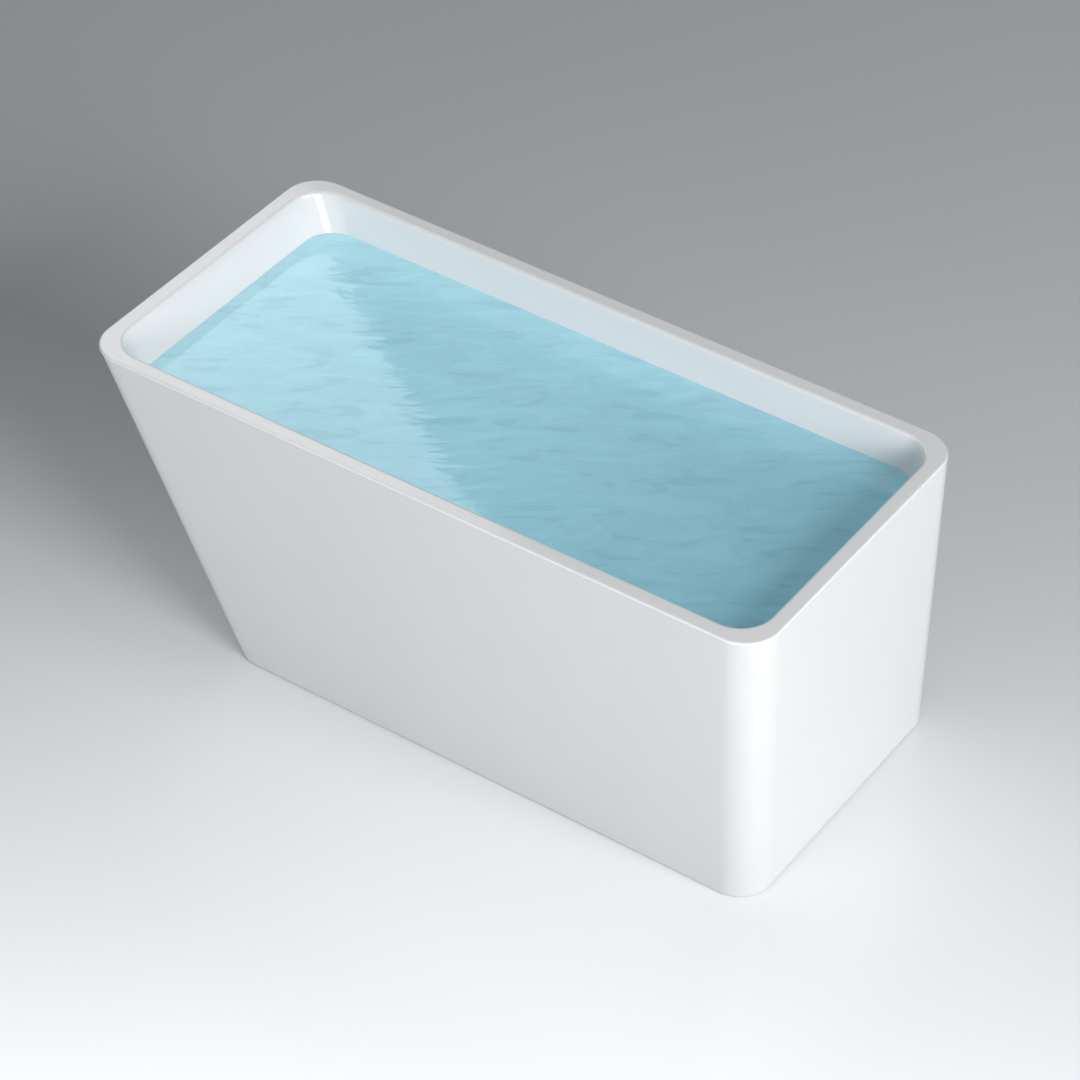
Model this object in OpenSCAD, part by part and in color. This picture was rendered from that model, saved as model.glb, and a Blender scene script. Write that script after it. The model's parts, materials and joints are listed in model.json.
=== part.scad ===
// Freestanding double-skinned acrylic bathtub with a pop-up waste and an overflow.
// The head end (-X) leans in towards the floor as a backrest, the drain end (+X) is upright.
// Origin: middle of the base, on the floor. +X towards the drain end, +Y towards the back, +Z up.

/* [Outer shape] */
// Length over the rim
tub_len = 1500; // [1450:10:1600]
// Width over the rim
tub_wid = 700; // [680:5:780]
// Height of the rim above the floor
tub_high = 640; // [625:5:655]
// Shadow gap between the skirt and the floor
floor_gap = 3; // [2:0.5:5]
// Lean of the head-end wall from upright, in degrees
head_lean = 24.6; // [22:0.1:26]
// Inward lean of the two long walls, in degrees
side_lean = 2.1; // [1:0.1:3]
// Radius of the upright outer corners at the rim
corner_r = 72; // [60:1:80]
// Radius of the upright outer corners at the floor
base_corner_r = 66; // [58:1:72]

/* [Basin] */
// Width of the flat rim
rim_w = 33; // [32:0.5:38]
// Radius of the basin's corners at the rim
basin_corner_r = 67; // [60:1:75]
// Height of the basin's lowest inside point above the floor
basin_floor = 180; // [175:1:190]
// Radius between the basin's walls and its floor
floor_r = 60; // [50:1:68]
// Fall of the basin's floor from the head end to the drain end
floor_fall = 8; // [4:1:10]
// Draft of the basin's long walls, in degrees
side_draft = 7; // [5:0.5:8]
// Draft of the basin's drain-end wall, in degrees
drain_draft = 8; // [8:0.5:9]

/* [Shells] */
// Thickness of the acrylic sheet
sheet_t = 4; // [4:0.5:5]
// Thickness of the glass-fibre layer behind the basin
basin_glass_t = 3; // [2.5:0.5:4]
// Thickness of the glass-fibre layer behind the skirt
skirt_glass_t = 2; // [2:0.5:3]

/* [Waste] */
// Distance of the drain from the middle of the tub
drain_x = 520; // [518:1:522]
// Height that the stopper rises when it opens
stopper_travel = 8; // [6:0.5:8]
// Outer radius of the tailpiece
tail_r = 20; // [19:0.5:20]
// Height of the overflow's centre above the floor
overflow_z = 572; // [566:1:574]

/* [Levelling feet] */
// Radius of a foot's threaded stud
stud_r = 6; // [5:0.5:6]
// Radius of a foot's pad
pad_r = 28; // [24:1:30]
// Thread pitch of the studs
stud_pitch = 1.75; // [1.5:0.25:2]

/* [Hidden] */

acrylic = [0.93, 0.935, 0.94];
glass_fibre = [0.78, 0.76, 0.62];
steel = [0.30, 0.31, 0.33];
zinc = [0.66, 0.68, 0.70];
chrome = [0.82, 0.84, 0.86];
rubber = [0.08, 0.08, 0.09];
plastic = [0.16, 0.16, 0.17];
pipe_white = [0.88, 0.88, 0.87];
timber = [0.72, 0.58, 0.40];
bead = [0.86, 0.86, 0.84];

// A cut runs this far past the face it opens, so that no skin is left
past = 1;
// Thickness of the thin slabs that a hull is stretched between
skin = 0.2;
// Fineness of the shapes that go into a hull
hull_fn = 40;
// Running clearance of a shaft in its bore
running = 0.05;
// Clearance between bodies that pass each other without fitting
clear = 0.3;
// Bedding between the glass-fibre layers and what is set against them
bed = 0.1;

// ---- Walls of the skirt and the basin, as functions of the height z ----
function skirt_head_x(z) = -tub_len / 2 + (tub_high - z) * tan(head_lean);
function skirt_drain_x(z) = tub_len / 2;
function skirt_side_y(z) = tub_wid / 2 - (tub_high - z) * tan(side_lean);
function skirt_corner_r(z) =
    base_corner_r + (corner_r - base_corner_r) * (z - floor_gap) / (tub_high - floor_gap);
function basin_head_x(z) = -tub_len / 2 + rim_w + (tub_high - z) * tan(head_lean);
function basin_drain_x(z) = tub_len / 2 - rim_w - (tub_high - z) * tan(drain_draft);
function basin_side_y(z) = tub_wid / 2 - rim_w - (tub_high - z) * tan(side_draft);

// Centres of the balls that round the basin's floor
ball_drain_z = basin_floor + floor_r;
ball_head_z = ball_drain_z + floor_fall;
ball_head_x = basin_head_x(ball_head_z) + floor_r / cos(head_lean);
ball_drain_x = basin_drain_x(ball_drain_z) - floor_r / cos(drain_draft);
ball_y = basin_side_y(ball_drain_z) - floor_r / cos(side_draft);
function basin_floor_z(x) =
    basin_floor + floor_fall * (ball_drain_x - x) / (ball_drain_x - ball_head_x);

// Rim: the plate's underside, the glue line and the skirt's top flange
rim_under = tub_high - sheet_t;
glue_t = 1;
rim_edge = 3;
flange_inset = 22;
skirt_flange_t = sheet_t;
base_flange_w = 25;
base_flange_t = 4;

// Support: board, frame tubes and feet
board_t = 18;
board_under = basin_floor - sheet_t - basin_glass_t - board_t;
board_margin = 20;
tube = 30;
tube_wall = 2;
rail_y = 150;
rail_x0 = -390;
rail_x1 = 630;
cross_x = [-360, 120, 580];
frame_under = board_under - tube;
// Each foot: x, y
feet = [
    [cross_x[0], -rail_y], [cross_x[0], rail_y], [cross_x[1], 0],
    [cross_x[2], -rail_y], [cross_x[2], rail_y]
];
nut_h = 10;
lock_nut_h = 7;
nut_corner_r = 11;
pad_h = 14;
stud_seat = 6;
stud_reach = 18;
stud_top = frame_under + stud_reach;
wrench_z = 18;
wrench_h = 8;
wrench_r = 9;

// Brackets between the rails and the skirt
bracket_x = [-250, 400];
bracket_w = 30;
bracket_t = 3;
bracket_low = 52;
bracket_tab = 34;
bracket_top_gap = 4;
block_len = 60;
block_low = 25;
block_high = 92;
block_face = 291;
block_screw_z = [66, 78];
block_screw_bite = 17;
screw_x = [-300, -100, 240, 450];
screw_r = 2.5;
screw_bite = 12;
bolt_r = 4;
block_screw_r = 2;

// Waste: heights up from the floor
drain_bore_r = 25;
drain_boss_r = 46;
drain_boss_t = 5.5;
drain_recess_r = 42;
flange_r = 36;
flange_t = 3;
thread_r = 24;
mouth_r = 21;
chamfer = 6;
seal_t = 1.5;
drain_sink = 4;
drain_seat = basin_floor - drain_sink;
flange_seat = drain_seat + seal_t;
flange_top = flange_seat + flange_t;
boss_under = drain_seat - drain_boss_t;
low_seal_t = 4;
back_nut_t = 12;
back_nut_low = boss_under - low_seal_t - back_nut_t;
thread_free = 20;
flange_low = back_nut_low - thread_free;
hub_r = 7;
hub_sink = 9;
hub_len = 16;
hub_high = flange_top - hub_sink;
hub_low = hub_high - hub_len;
stem_r = 4;
stem_nut_h = 4;
stem_end = 0.5;
stem_low = hub_low - stopper_travel - stem_nut_h - 2 * stem_end;
cap_r = 31;
cap_low = flange_top + clear;
cap_t = 4.5;
waste_body_r = 28;
chamber_r = 20;
side_z = 100;
side_socket_len = 44;
side_socket_end = drain_x + side_socket_len;
neck_low = 60;
tail_low = 14;
tail_high = 82;
tail_wall = 2;
tail_seal_t = 4;
tail_neck_r = tail_r + 3;
tail_nut_low = 50;
tail_nut_lap = 12;

// Overflow, in the plane of the drain-end wall
back_face = sheet_t + basin_glass_t;
seal_face = back_face + bed;
neck_r = 20;
ring_nut_r = neck_r + 6;
hole_r = 21;
overflow_seal_t = 3;
body_flange_r = 31;
body_flange_t = 3;
chamber_end = 29;
pipe_offset = 24;
pipe_r = 10;
pipe_wall = 1.5;
socket_r = 12;
socket_top = 18;
socket_end = 58;
pipe_start = 44;
pipe_nut_r = 15;
nut_lap = 6;
rib_r = 1.2;
elbow_r = 45;

// Where the sloping part of the overflow pipe meets its elbow
axis_x = basin_drain_x(overflow_z) + pipe_offset * cos(drain_draft);
axis_z = overflow_z - pipe_offset * sin(drain_draft);
elbow_z = side_z + elbow_r;
elbow_start_z = elbow_z - elbow_r * sin(drain_draft);
pipe_run = (axis_z - elbow_start_z) / cos(drain_draft);
elbow_x = axis_x - pipe_run * sin(drain_draft) - elbow_r * cos(drain_draft);

// ---- Shared shapes ----

// Round-cornered rectangle from x0 to x1 and from -y to y
module round_rect(x0, x1, y, r) {
    translate([x0 + r, -y]) square([x1 - x0 - 2 * r, 2 * y]);
    translate([x0, -y + r]) square([x1 - x0, 2 * y - 2 * r]);
    for (cx = [x0 + r, x1 - r], cy = [-y + r, y - r])
        translate([cx, cy]) circle(r);
}

// Outline of the skirt at height z, set in from its outer face
module skirt_outline(z, inset) {
    round_rect(
        skirt_head_x(z) + inset / cos(head_lean), skirt_drain_x(z) - inset,
        skirt_side_y(z) - inset / cos(side_lean), skirt_corner_r(z) - inset
    );
}

// Solid form of the skirt between two heights, set in from its outer face
module skirt_form(inset, z0, z1) {
    hull() {
        translate([0, 0, z0]) linear_extrude(skin) skirt_outline(z0, inset, $fn = hull_fn);
        translate([0, 0, z1 - skin]) linear_extrude(skin) skirt_outline(z1, inset, $fn = hull_fn);
    }
}

// Outline of the basin at height z, grown out from its inside face
module basin_outline(z, grow) {
    round_rect(
        basin_head_x(z) - grow / cos(head_lean), basin_drain_x(z) + grow / cos(drain_draft),
        basin_side_y(z) + grow / cos(side_draft), basin_corner_r + grow
    );
}

// Ball whose lowest facet lies exactly r below its centre
module floor_ball(x, y, z, r) {
    translate([x, y, z]) sphere(r / cos(180 / hull_fn), $fn = hull_fn);
}

// Solid form of the basin up to a height, grown out from its inside face
module basin_form(grow, top) {
    hull() {
        translate([0, 0, top - skin])
            linear_extrude(skin) basin_outline(top - skin, grow, $fn = hull_fn);
        for (y = [-ball_y, ball_y]) {
            floor_ball(ball_head_x, y, ball_head_z, floor_r + grow);
            floor_ball(ball_drain_x, y, ball_drain_z, floor_r + grow);
        }
    }
}

// Moves a shape to the drain-end wall: its X points out of the back of the wall, its Z up it
module on_drain_wall() {
    translate([basin_drain_x(overflow_z), 0, overflow_z]) rotate([0, drain_draft, 0]) children();
}

// Ring or disc about the X axis of the drain-end wall
module wall_ring(x0, x1, r) {
    translate([x0, 0, 0]) rotate([0, 90, 0]) cylinder(h = x1 - x0, r = r, $fn = 72);
}

// Upright cylinder on the drain's axis
module drain_cylinder(z0, z1, r) {
    translate([drain_x, 0, z0]) cylinder(h = z1 - z0, r = r, $fn = 72);
}

// Hexagon nut with its bore, standing on z
module hex_nut(z, h, corner, bore) {
    translate([0, 0, z]) difference() {
        cylinder(h = h, r = corner, $fn = 6);
        translate([0, 0, -past]) cylinder(h = h + 2 * past, r = bore, $fn = 48);
    }
}

// ---- Shells ----

// Acrylic basin with the flat rim, the drain's seat and the holes for waste and overflow
module basin_shell() {
    color(acrylic) difference() {
        union() {
            hull() {
                translate([0, 0, rim_under])
                    linear_extrude(sheet_t - rim_edge) skirt_outline(tub_high, 0, $fn = 64);
                translate([0, 0, tub_high - skin])
                    linear_extrude(skin) skirt_outline(tub_high, rim_edge, $fn = 64);
            }
            basin_form(sheet_t, rim_under);
            drain_cylinder(boss_under, basin_floor, drain_boss_r);
        }
        basin_form(0, tub_high + skin);
        drain_cylinder(drain_seat, basin_floor + floor_fall + past, drain_recess_r);
        drain_cylinder(boss_under - past, drain_seat + past, drain_bore_r);
        on_drain_wall() wall_ring(-past, back_face + past, hole_r);
    }
}

// Glass-fibre layer laid up on the back of the basin
module basin_glass_layer() {
    color(glass_fibre) difference() {
        basin_form(back_face, rim_under - glue_t);
        basin_form(sheet_t, rim_under);
        drain_cylinder(board_under, basin_floor, drain_boss_r + clear);
        on_drain_wall() wall_ring(0, back_face + past, hole_r);
    }
}

// Acrylic skirt: four walls, a top flange under the rim and a turned-in base flange
module skirt_shell() {
    color(acrylic) difference() {
        skirt_form(0, floor_gap, rim_under);
        skirt_form(sheet_t, floor_gap + base_flange_t, rim_under - glue_t - skirt_flange_t);
        translate([0, 0, rim_under - glue_t])
            linear_extrude(glue_t + past) skirt_outline(rim_under, sheet_t, $fn = 64);
        translate([0, 0, rim_under - sheet_t - glue_t - past])
            linear_extrude(sheet_t + glue_t + 2 * past)
                skirt_outline(tub_high, flange_inset, $fn = 64);
        translate([0, 0, floor_gap - past])
            linear_extrude(base_flange_t + 2 * past)
                skirt_outline(floor_gap, base_flange_w, $fn = 64);
    }
}

// Glass-fibre layer on the inside of the skirt's walls
module skirt_glass_layer() {
    low = floor_gap + base_flange_t;
    high = rim_under - glue_t - skirt_flange_t;
    color(glass_fibre) difference() {
        skirt_form(sheet_t, low, high);
        skirt_form(sheet_t + skirt_glass_t, low - past, high + past);
    }
}

// Glue line between the rim's underside and the skirt's top flange
module rim_adhesive() {
    color(bead) translate([0, 0, rim_under - glue_t]) linear_extrude(glue_t) difference() {
        skirt_outline(rim_under, sheet_t + 1, $fn = 64);
        skirt_outline(tub_high, flange_inset, $fn = 64);
    }
}

// Board under the basin: level below, and sloped with the basin's floor above
module base_board() {
    x0 = ball_head_x + board_margin;
    x1 = ball_drain_x - board_margin;
    width = 2 * (ball_y - board_margin);
    top = -back_face - bed;
    color(timber) difference() {
        translate([0, width / 2, 0]) rotate([90, 0, 0]) linear_extrude(width) polygon([
            [x0, board_under], [x1, board_under],
            [x1, basin_floor_z(x1) + top], [x0, basin_floor_z(x0) + top]
        ]);
        drain_cylinder(board_under - past, basin_floor, drain_boss_r + 8);
        board_screw_holes();
    }
}

// ---- Steel frame ----

// Square tube along X, with its middle at the origin
module square_tube(len) {
    difference() {
        cube([len, tube, tube], center = true);
        cube([len + 2 * past, tube - 2 * tube_wall, tube - 2 * tube_wall], center = true);
    }
}

// Holes for the screws that hold the board to the rails
module board_screw_holes() {
    for (x = screw_x, y = [-rail_y, rail_y])
        translate([x, y, frame_under - past])
            cylinder(h = tube + screw_bite + 2 * past, r = screw_r, $fn = 32);
}

// Long rail on one side, drilled for two feet, two bracket bolts and the board's screws
module rail(side) {
    color(steel) difference() {
        translate([(rail_x0 + rail_x1) / 2, side * rail_y, frame_under + tube / 2])
            square_tube(rail_x1 - rail_x0);
        for (x = [cross_x[0], cross_x[2]])
            translate([x, side * rail_y, frame_under - past])
                cylinder(h = tube_wall + 2 * past, r = stud_r + 1, $fn = 48);
        for (x = bracket_x)
            translate([x, side * rail_y, frame_under + tube / 2]) rotate([-side * 90, 0, 0])
                cylinder(h = tube, r = bolt_r, $fn = 32);
        board_screw_holes();
    }
}
module rail_front() { rail(-1); }
module rail_back() { rail(1); }

// Cross tube welded between the rails
module cross_tube(x) {
    color(steel) difference() {
        translate([x, 0, frame_under + tube / 2]) rotate([0, 0, 90])
            square_tube(2 * rail_y - tube);
        if (x == cross_x[1])
            translate([x, 0, frame_under - past])
                cylinder(h = tube_wall + 2 * past, r = stud_r + 1, $fn = 48);
    }
}
module cross_tube_head() { cross_tube(cross_x[0]); }
module cross_tube_middle() { cross_tube(cross_x[1]); }
module cross_tube_drain() { cross_tube(cross_x[2]); }

// Plastic plugs in the four ends of the rails
module rail_end_caps() {
    head_t = 3;
    plug_len = 14;
    inner = tube - 2 * tube_wall;
    color(plastic) for (end = [0, 1], side = [-1, 1])
        translate([end == 0 ? rail_x0 : rail_x1, side * rail_y, frame_under + tube / 2])
            mirror([end, 0, 0]) {
                translate([-head_t, -tube / 2, -tube / 2]) cube([head_t, tube, tube]);
                translate([0, -inner / 2, -inner / 2]) cube([plug_len, inner, inner]);
            }
}

// Screws from below through the rails into the board
module board_screws() {
    head_h = 3;
    head_r = 5;
    color(zinc) for (x = screw_x, y = [-rail_y, rail_y])
        translate([x, y, frame_under]) {
            cylinder(h = tube + screw_bite, r = screw_r, $fn = 32);
            translate([0, 0, -head_h]) cylinder(h = head_h, r1 = head_r - 1, r2 = head_r, $fn = 32);
        }
}

// ---- Levelling feet ----

// Nuts welded under the frame at each foot
module foot_weld_nuts() {
    color(steel) for (f = feet)
        translate([f[0], f[1], 0])
            hex_nut(frame_under - nut_h, nut_h, nut_corner_r, stud_r + running);
}

// Lock nuts drawn up against the welded nuts
module foot_lock_nuts() {
    turned = 18;
    low = frame_under - nut_h - lock_nut_h;
    color(zinc) for (f = feet)
        translate([f[0], f[1], 0]) rotate([0, 0, turned])
            hex_nut(low, lock_nut_h, nut_corner_r, stud_r + running);
}

// Pad that swivels on the stud's lower end
module foot_pad(f) {
    socket_r = stud_r - 1 + running;
    color(plastic) translate([feet[f][0], feet[f][1], 0]) rotate_extrude($fn = 72) polygon([
        [0, 0], [pad_r - 1, 0], [pad_r, 1], [pad_r, 5], [stud_r + 6, pad_h],
        [socket_r, pad_h], [socket_r, stud_seat - clear], [0, stud_seat - clear]
    ]);
}
module foot_pad_head_front() { foot_pad(0); }
module foot_pad_head_back() { foot_pad(1); }
module foot_pad_centre() { foot_pad(2); }
module foot_pad_drain_front() { foot_pad(3); }
module foot_pad_drain_back() { foot_pad(4); }

// Threaded stud with a wrench hexagon, turned in the nuts to set the height
module foot_stud(f) {
    groove = 0.4;
    bare = 7;
    thread_low = wrench_z + wrench_h;
    thread_high = frame_under - nut_h - lock_nut_h - bare;
    threads = floor((thread_high - thread_low) / stud_pitch);
    color(zinc) translate([feet[f][0], feet[f][1], 0]) {
        translate([0, 0, stud_seat]) cylinder(h = wrench_z - stud_seat, r = stud_r - 1, $fn = 48);
        translate([0, 0, wrench_z]) cylinder(h = wrench_h, r = wrench_r, $fn = 6);
        difference() {
            translate([0, 0, thread_low - past])
                cylinder(h = stud_top - thread_low + past, r = stud_r, $fn = 48);
            for (i = [2:6:threads - 4])
                translate([0, 0, thread_low + i * stud_pitch])
                    rotate_extrude($fn = 48) polygon([
                        [stud_r + past, -groove - past], [stud_r + past, groove + past],
                        [stud_r - groove, 0]
                    ]);
        }
    }
}
module foot_stud_head_front() { foot_stud(0); }
module foot_stud_head_back() { foot_stud(1); }
module foot_stud_centre() { foot_stud(2); }
module foot_stud_drain_front() { foot_stud(3); }
module foot_stud_drain_back() { foot_stud(4); }

// ---- Skirt braces ----

// Steel strap from a rail, under it and out to a timber block, drawn on the back side
module bracket_shape() {
    inner = rail_y + tube / 2;
    difference() {
        translate([-bracket_w / 2, 0, 0]) {
            translate([0, inner, bracket_low])
                cube([bracket_w, bracket_t, board_under - bracket_top_gap - bracket_low]);
            translate([0, inner, bracket_low])
                cube([bracket_w, block_face - inner, bracket_t]);
            translate([0, block_face - bracket_t, bracket_low])
                cube([bracket_w, bracket_t, bracket_tab]);
        }
        translate([0, rail_y, frame_under + tube / 2]) rotate([-90, 0, 0])
            cylinder(h = tube, r = bolt_r, $fn = 32);
        for (z = block_screw_z)
            translate([0, block_face - tube, z]) rotate([-90, 0, 0])
                cylinder(h = 2 * tube, r = block_screw_r, $fn = 32);
    }
}

// Timber block bonded to the inside of a long wall, its outer face following the lean
module block_shape() {
    back = (sheet_t + skirt_glass_t + bed) / cos(side_lean);
    difference() {
        translate([-block_len / 2, 0, 0]) rotate([90, 0, 90]) linear_extrude(block_len) polygon([
            [block_face, block_low], [skirt_side_y(block_low) - back, block_low],
            [skirt_side_y(block_high) - back, block_high], [block_face, block_high]
        ]);
        for (z = block_screw_z)
            translate([0, block_face - past, z]) rotate([-90, 0, 0])
                cylinder(h = block_screw_bite + 2 * past, r = block_screw_r, $fn = 32);
    }
}

// Puts a back-side shape at one of the four braces: end 0 is the head, side -1 the front
module at_brace(end, side) {
    translate([bracket_x[end], 0, 0]) mirror([0, side < 0 ? 1 : 0, 0]) children();
}
module at_all_braces() {
    for (end = [0, 1], side = [-1, 1])
        at_brace(end, side) children();
}
module bracket(end, side) { color(zinc) at_brace(end, side) bracket_shape(); }
module bracket_head_front() { bracket(0, -1); }
module bracket_head_back() { bracket(0, 1); }
module bracket_drain_front() { bracket(1, -1); }
module bracket_drain_back() { bracket(1, 1); }
module block(end, side) { color(timber) at_brace(end, side) block_shape(); }
module block_head_front() { block(0, -1); }
module block_head_back() { block(0, 1); }
module block_drain_front() { block(1, -1); }
module block_drain_back() { block(1, 1); }

// Bolts through the straps into the rails
module bracket_bolts() {
    face = rail_y + tube / 2 + bracket_t;
    shank = 12;
    head_h = 5;
    head_corner_r = 7.5;
    color(zinc) at_all_braces() translate([0, 0, frame_under + tube / 2]) rotate([-90, 0, 0]) {
        translate([0, 0, face - shank]) cylinder(h = shank, r = bolt_r, $fn = 32);
        translate([0, 0, face]) cylinder(h = head_h, r = head_corner_r, $fn = 6);
    }
}

// Wood screws through the straps' tabs into the timber blocks
module block_screws() {
    head_h = 2.5;
    head_r = 4;
    color(zinc) at_all_braces() for (z = block_screw_z)
        translate([0, block_face - bracket_t, z]) rotate([-90, 0, 0]) {
            cylinder(h = bracket_t + block_screw_bite, r = block_screw_r, $fn = 32);
            translate([0, 0, -head_h]) cylinder(h = head_h, r1 = head_r - 1, r2 = head_r, $fn = 32);
        }
}

// ---- Waste and stopper ----

// Flange seated in the basin's floor, with its threaded tube, three spokes and the stem's guide
module waste_flange() {
    lip = 1;
    spoke_t = 3;
    spoke_h = 5;
    color(chrome) translate([drain_x, 0, 0]) {
        rotate_extrude($fn = 96) polygon([
            [mouth_r, flange_low], [thread_r, flange_low], [thread_r, flange_seat],
            [flange_r, flange_seat], [flange_r, flange_top - 2 * lip], [flange_r - lip, flange_top],
            [mouth_r + chamfer, flange_top], [mouth_r, flange_top - chamfer]
        ]);
        difference() {
            union() {
                translate([0, 0, hub_low]) cylinder(h = hub_high - hub_low, r = hub_r, $fn = 48);
                for (a = [60:120:300])
                    rotate([0, 0, a]) translate([0, -spoke_t / 2, hub_low])
                        cube([mouth_r + 1, spoke_t, spoke_h]);
            }
            translate([0, 0, hub_low - past])
                cylinder(h = hub_high - hub_low + 2 * past, r = stem_r + running, $fn = 48);
        }
    }
}

// Flat ring on the drain's axis
module drain_ring(z, h, outer, inner) {
    difference() {
        drain_cylinder(z, z + h, outer);
        drain_cylinder(z - past, z + h + past, inner);
    }
}
module waste_top_seal() {
    color(rubber) drain_ring(drain_seat, seal_t, flange_r - 2, thread_r);
}
module waste_bottom_seal() {
    color(rubber) drain_ring(boss_under - low_seal_t, low_seal_t, flange_r - 2, thread_r);
}

// Back nut with six finger lugs
module waste_back_nut() {
    lug_r = 4;
    nut_r = 32;
    color(plastic) difference() {
        union() {
            drain_cylinder(back_nut_low, back_nut_low + back_nut_t, nut_r);
            for (a = [0:60:300])
                translate([drain_x, 0, back_nut_low]) rotate([0, 0, a]) translate([nut_r, 0, 0])
                    cylinder(h = back_nut_t, r = lug_r, $fn = 32);
        }
        drain_cylinder(back_nut_low - past, back_nut_low + back_nut_t + past, thread_r);
    }
}

// Body screwed on the flange's tube, with the overflow's side socket and the tail's neck
module waste_body() {
    shoulder = flange_low - 3;
    floor_in = tail_high + 2;
    low = floor_in - 10;
    color(pipe_white) difference() {
        union() {
            drain_cylinder(low, back_nut_low - 1, waste_body_r);
            drain_cylinder(neck_low, floor_in, tail_neck_r);
            translate([drain_x, 0, side_z]) rotate([0, 90, 0])
                cylinder(h = side_socket_len, r = socket_r, $fn = 48);
        }
        drain_cylinder(shoulder, back_nut_low, thread_r);
        drain_cylinder(floor_in, shoulder + past, chamber_r + 3);
        drain_cylinder(tail_high, floor_in + past, tail_r - tail_wall);
        drain_cylinder(neck_low - past, tail_high, tail_r);
        translate([drain_x, 0, side_z]) rotate([0, 90, 0])
            cylinder(h = side_socket_len + past, r = pipe_r, $fn = 48);
    }
}

// Seal and nut that hold the tailpiece
module tail_seal() {
    color(rubber) drain_ring(neck_low - tail_seal_t, tail_seal_t, tail_neck_r, tail_r);
}
module tail_nut() {
    high = neck_low + tail_nut_lap;
    r = tail_neck_r + 4;
    color(pipe_white) difference() {
        union() {
            drain_cylinder(tail_nut_low, high, r);
            for (a = [0:30:330])
                translate([drain_x, 0, tail_nut_low]) rotate([0, 0, a]) translate([r, 0, 0])
                    cylinder(h = high - tail_nut_low, r = rib_r, $fn = 24);
        }
        drain_cylinder(neck_low - tail_seal_t, high + past, tail_neck_r);
        drain_cylinder(tail_nut_low - past, neck_low, tail_r);
    }
}
// Plain outlet tube, with a groove that marks how far it goes into the body
module tailpiece() {
    mark = 0.6;
    mark_z = tail_nut_low - 2;
    color(pipe_white) difference() {
        drain_ring(tail_low, tail_high - tail_low, tail_r, tail_r - tail_wall);
        difference() {
            drain_cylinder(mark_z - mark, mark_z + mark, tail_r + past);
            drain_cylinder(mark_z - mark - past, mark_z + mark + past, tail_r - mark);
        }
    }
}

// Domed cap that closes the drain
module stopper_cap() {
    rise = 2;
    color(chrome) translate([drain_x, 0, cap_low]) rotate_extrude($fn = 96) polygon(concat(
        [[0, 0], [cap_r - 1, 0], [cap_r, 1]],
        [for (i = [0:8]) let (a = i * 90 / 8)
            [(cap_r - 2) * cos(a) + 2 * cos(a) * (1 - i / 8), cap_t - rise + rise * sin(a)]]
    ));
}

// Rubber cone under the cap that shuts the flange's mouth
module stopper_seal() {
    gap = 0.6;
    low = flange_top - chamfer + 1;
    color(rubber) translate([drain_x, 0, 0]) rotate_extrude($fn = 72) polygon([
        [hub_r + 5, low], [mouth_r + 1 - gap, low],
        [mouth_r + chamfer + clear - gap, cap_low], [hub_r + 5, cap_low]
    ]);
}

// Stem that slides in the flange's guide
module stopper_stem() {
    color(zinc) drain_cylinder(stem_low, cap_low, stem_r);
}

// Nut on the stem's lower end that stops the cap at its open height
module stopper_stem_nut() {
    color(zinc) translate([drain_x, 0, 0]) hex_nut(stem_low + stem_end, stem_nut_h, hub_r, stem_r);
}

// Spring between the guide and the cap, as the sleeve that its coils fill
module stopper_spring() {
    color(zinc) drain_ring(hub_high, cap_low - clear - hub_high, hub_r - 0.5, stem_r + 0.8);
}

// ---- Overflow ----

// Chrome cap over the overflow, stood off the wall so that water runs in behind its edge
module overflow_cover() {
    r = 34;
    depth = 13;
    stand_off = 3;
    wall = 2;
    top_t = 3;
    hub_start = 4;
    slot_w = 10;
    slot_len = 8;
    color(chrome) on_drain_wall() rotate([0, -90, 0]) difference() {
        rotate_extrude($fn = 96) polygon([
            [0, depth], [r - 3, depth], [r - 1, depth - 1], [r, depth - 3],
            [r, stand_off], [r - wall, stand_off], [r - wall, depth - top_t - 1],
            [ring_nut_r + wall, depth - top_t - 1], [ring_nut_r + wall, hub_start],
            [ring_nut_r, hub_start], [ring_nut_r, depth - top_t], [0, depth - top_t]
        ]);
        for (a = [60:60:300])
            rotate([0, 0, a]) translate([neck_r + 2, -slot_w / 2, hub_start - past])
                cube([slot_len, slot_w, depth - hub_start - 5]);
    }
}

// Ring nut inside the basin that clamps the wall
module overflow_ring_nut() {
    thick = 5;
    color(pipe_white) on_drain_wall() difference() {
        wall_ring(-thick, 0, ring_nut_r);
        wall_ring(-thick - past, past, neck_r);
    }
}
module overflow_seal() {
    color(rubber) on_drain_wall() difference() {
        wall_ring(seal_face, seal_face + overflow_seal_t, body_flange_r - 1);
        wall_ring(seal_face - past, seal_face + overflow_seal_t + past, hole_r);
    }
}

// Body behind the wall: threaded neck, flange, chamber and the socket for the pipe
module overflow_body() {
    flange_x = seal_face + overflow_seal_t;
    neck_end = -7;
    wall = 2;
    duct_r = 6;
    duct_len = 32;
    color(pipe_white) on_drain_wall() difference() {
        union() {
            wall_ring(neck_end, flange_x + past, neck_r);
            wall_ring(flange_x, flange_x + body_flange_t, body_flange_r);
            wall_ring(flange_x, chamber_end, neck_r + 5);
            translate([pipe_offset, 0, -socket_end])
                cylinder(h = socket_end - socket_top, r = socket_r, $fn = 48);
        }
        wall_ring(neck_end - past, chamber_end - wall, neck_r - wall);
        translate([pipe_offset, 0, -socket_end - past])
            cylinder(h = socket_end - pipe_start + past, r = pipe_r, $fn = 48);
        translate([pipe_offset - wall, 0, -pipe_start - past])
            cylinder(h = duct_len, r = duct_r, $fn = 48);
    }
}

// Puts a shape in the elbow's own plane, with the bend's centre at the origin
module elbow_plane() {
    translate([elbow_x, 0, elbow_z]) rotate([90, 0, 0]) children();
}

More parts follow.
